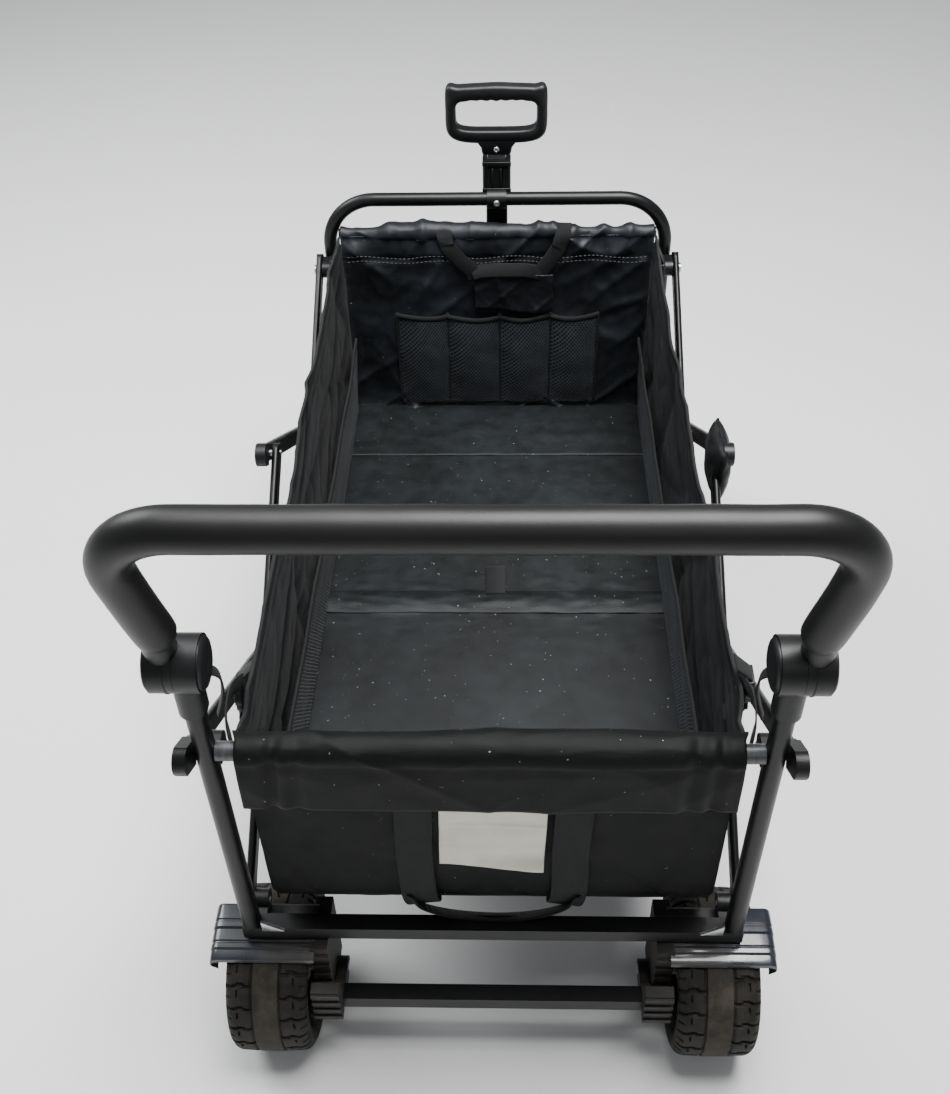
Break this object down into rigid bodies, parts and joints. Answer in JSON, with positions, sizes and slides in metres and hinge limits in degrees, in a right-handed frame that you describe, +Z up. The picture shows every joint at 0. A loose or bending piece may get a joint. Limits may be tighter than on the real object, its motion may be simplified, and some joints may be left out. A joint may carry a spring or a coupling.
{
  "type": "folding camp wagon",
  "caption": "Folding camp wagon: fabric basket on a scissor frame, padded push handle at the rear, telescoping pull handle at the front, wide tyres",
  "frame": {"origin": "centre of the wagon's footprint, on the floor under the wheels", "axes": "+Z up, +Y towards the pulling handle and the swivelling wheels, +X to the right of someone pushing it"},
  "size_m": [0.658, 1.189, 0.8983],
  "materials": {
    "frame_tube": "satin black powder coat",
    "bare_steel": "plain zinc plated steel",
    "black_plastic": "fine grained moulded nylon",
    "fender_plastic": "glossy dark blue grey moulding",
    "tyre_rubber": "dusty all terrain tread",
    "grip_foam": "matt closed cell foam",
    "basket_fabric": "coated polyester with a soft sheen",
    "pocket_mesh": "open knitted mesh",
    "webbing": "woven polyester webbing",
    "label_cloth": "plain off white satin label"
  },
  "bodies": {
    "rear_base": {"rear_cross_tube": "frame_tube", "rear_post_rods": "bare_steel", "rear_pivot_blocks": "black_plastic", "wheel_brackets": "black_plastic", "rear_fenders": "fender_plastic", "rear_axles": "bare_steel"},
    "brake": {"brake_bar": "frame_tube", "brake_pedals": "black_plastic"},
    "rear_wheel_left": {"rear_tyre_left": "tyre_rubber", "rear_rim_left": "black_plastic"},
    "rear_wheel_right": {"rear_tyre_right": "tyre_rubber", "rear_rim_right": "black_plastic"},
    "rising_rear_bars": {"bars_rear_rising": "frame_tube", "rising_bar_pins": "bare_steel"},
    "falling_rear_bars": {"bars_rear_falling": "frame_tube", "rear_bar_caps": "black_plastic", "floor_support_tube": "frame_tube"},
    "falling_front_bars": {"bars_front_falling": "frame_tube", "middle_bar_caps": "black_plastic", "falling_bar_pins": "bare_steel"},
    "rising_front_bars": {"bars_front_rising": "frame_tube", "front_bar_pins": "bare_steel"},
    "rear_upper": {"uprights": "frame_tube", "rear_top_bar": "frame_tube", "upper_pivot_blocks": "black_plastic", "knuckle_housings": "black_plastic", "rear_wall": "basket_fabric", "side_wall_left": "basket_fabric", "side_wall_right": "basket_fabric", "rear_floor_strip": "basket_fabric", "care_label": "label_cloth", "rear_buckles": "black_plastic"},
    "push_handle": {"push_handle_tube": "frame_tube", "foam_grip": "grip_foam", "knuckle_hubs": "black_plastic"},
    "button_left": {"knuckle_button_left": "black_plastic"},
    "button_right": {"knuckle_button_right": "black_plastic"},
    "rear_board": {"floor_board_rear": "basket_fabric"},
    "front_board": {"floor_board_front": "basket_fabric", "floor_pull_tab": "webbing"},
    "front_upper": {"front_hoop": "frame_tube", "front_rim_bar": "frame_tube", "lower_hoop_tube": "frame_tube", "front_pivot_blocks": "black_plastic", "handle_clip": "black_plastic", "front_wall": "basket_fabric", "mesh_pocket": "pocket_mesh", "front_floor_strip": "basket_fabric"},
    "pull_handle": {"pull_post": "frame_tube"},
    "pull_slide": {"pull_inner_tube": "bare_steel", "pull_grip": "black_plastic"},
    "pull_lock": {"lock_sleeve": "black_plastic"},
    "front_base": {"front_cross_tube": "frame_tube", "front_post_rods": "bare_steel", "front_lower_blocks": "black_plastic", "caster_housings": "black_plastic"},
    "fork_left": {"caster_fork_left": "black_plastic"},
    "fork_right": {"caster_fork_right": "black_plastic"},
    "front_wheel_left_body": {"front_wheel_left": "tyre_rubber"},
    "front_wheel_right_body": {"front_wheel_right": "tyre_rubber"}
  },
  "joints": [
    {"name": "fold", "type": "hinge", "parent": "rear_base", "child": "rising_rear_bars", "pos_m": [0, -0.48, 0.222], "axis": [1, 0, 0], "range_deg": [0, 46], "deforming": ["side_wall_left", "side_wall_right", "front_floor_strip"]},
    {"name": "rear_crossing", "type": "hinge", "parent": "rising_rear_bars", "child": "falling_rear_bars", "pos_m": [0, -0.24, 0.3685], "axis": [1, 0, 0], "range_deg": [-93, 1]},
    {"name": "rear_high_pivot", "type": "hinge", "parent": "falling_rear_bars", "child": "rear_upper", "pos_m": [0, -0.48, 0.515], "axis": [1, 0, 0], "range_deg": [-1, 47]},
    {"name": "middle_high_pivot", "type": "hinge", "parent": "rising_rear_bars", "child": "falling_front_bars", "pos_m": [0, 0, 0.515], "axis": [1, 0, 0], "range_deg": [-93, 1]},
    {"name": "front_crossing", "type": "hinge", "parent": "falling_front_bars", "child": "rising_front_bars", "pos_m": [0, 0.24, 0.3685], "axis": [1, 0, 0], "range_deg": [-1, 93]},
    {"name": "front_high_pivot", "type": "hinge", "parent": "rising_front_bars", "child": "front_upper", "pos_m": [0, 0.48, 0.515], "axis": [1, 0, 0], "range_deg": [-47, 1]},
    {"name": "front_low_pivot", "type": "hinge", "parent": "falling_front_bars", "child": "front_base", "pos_m": [0, 0.48, 0.222], "axis": [1, 0, 0], "range_deg": [-1, 47]},
    {"name": "rear_board_hinge", "type": "hinge", "parent": "rear_upper", "child": "rear_board", "pos_m": [0, -0.345, 0.24], "axis": [1, 0, 0], "range_deg": [-1, 86.33]},
    {"name": "middle_board_hinge", "type": "hinge", "parent": "rear_board", "child": "front_board", "pos_m": [0, 0, 0.24], "axis": [1, 0, 0], "range_deg": [-172.66, 1]},
    {"name": "push_handle_tilt", "type": "hinge", "parent": "rear_upper", "child": "push_handle", "pos_m": [0, -0.51, 0.668], "axis": [1, 0, 0], "range_deg": [-105, 40]},
    {"name": "knuckle_button_left_press", "type": "slide", "parent": "rear_upper", "child": "button_left", "axis": [-1, 0, 0], "range_m": [0, 0.004], "stiffness_N_per_m": 400, "springref_m": -0.004},
    {"name": "knuckle_button_right_press", "type": "slide", "parent": "rear_upper", "child": "button_right", "axis": [1, 0, 0], "range_m": [0, 0.004], "stiffness_N_per_m": 400, "springref_m": -0.004},
    {"name": "pull_handle_drop", "type": "hinge", "parent": "front_upper", "child": "pull_handle", "pos_m": [0, 0.54, 0.285], "axis": [1, 0, 0], "range_deg": [-95, 0]},
    {"name": "pull_handle_extend", "type": "slide", "parent": "pull_handle", "child": "pull_slide", "axis": [0, 0, 1], "range_m": [0, 0.25]},
    {"name": "lock_sleeve_lift", "type": "slide", "parent": "pull_handle", "child": "pull_lock", "axis": [0, 0, 1], "range_m": [0, 0.005], "stiffness_N_per_m": 300, "springref_m": -0.006},
    {"name": "brake_press", "type": "hinge", "parent": "rear_base", "child": "brake", "pos_m": [0, -0.496, 0.0985], "axis": [1, 0, 0], "range_deg": [0, 18]},
    {"name": "rear_wheel_left_roll", "type": "hinge", "parent": "rear_base", "child": "rear_wheel_left", "pos_m": [-0.263, -0.496, 0.0985], "axis": [1, 0, 0], "continuous": true},
    {"name": "rear_wheel_right_roll", "type": "hinge", "parent": "rear_base", "child": "rear_wheel_right", "pos_m": [0.263, -0.496, 0.0985], "axis": [1, 0, 0], "continuous": true},
    {"name": "caster_left_swivel", "type": "hinge", "parent": "front_base", "child": "fork_left", "pos_m": [-0.263, 0.526, 0.215], "axis": [0, 0, 1], "continuous": true},
    {"name": "caster_right_swivel", "type": "hinge", "parent": "front_base", "child": "fork_right", "pos_m": [0.263, 0.526, 0.215], "axis": [0, 0, 1], "continuous": true},
    {"name": "front_wheel_left_roll", "type": "hinge", "parent": "fork_left", "child": "front_wheel_left_body", "pos_m": [-0.263, 0.496, 0.0985], "axis": [1, 0, 0], "continuous": true},
    {"name": "front_wheel_right_roll", "type": "hinge", "parent": "fork_right", "child": "front_wheel_right_body", "pos_m": [0.263, 0.496, 0.0985], "axis": [1, 0, 0], "continuous": true}
  ],
  "couplings": [
    {"joint": "rear_crossing", "follows": "fold", "ratio": -2},
    {"joint": "rear_high_pivot", "follows": "fold", "ratio": 1},
    {"joint": "middle_high_pivot", "follows": "fold", "ratio": -2},
    {"joint": "front_crossing", "follows": "fold", "ratio": 2},
    {"joint": "front_high_pivot", "follows": "fold", "ratio": -1},
    {"joint": "front_low_pivot", "follows": "fold", "ratio": 1},
    {"joint": "rear_board_hinge", "follows": "fold", "ratio": 1.855},
    {"joint": "middle_board_hinge", "follows": "fold", "ratio": -3.71}
  ]
}
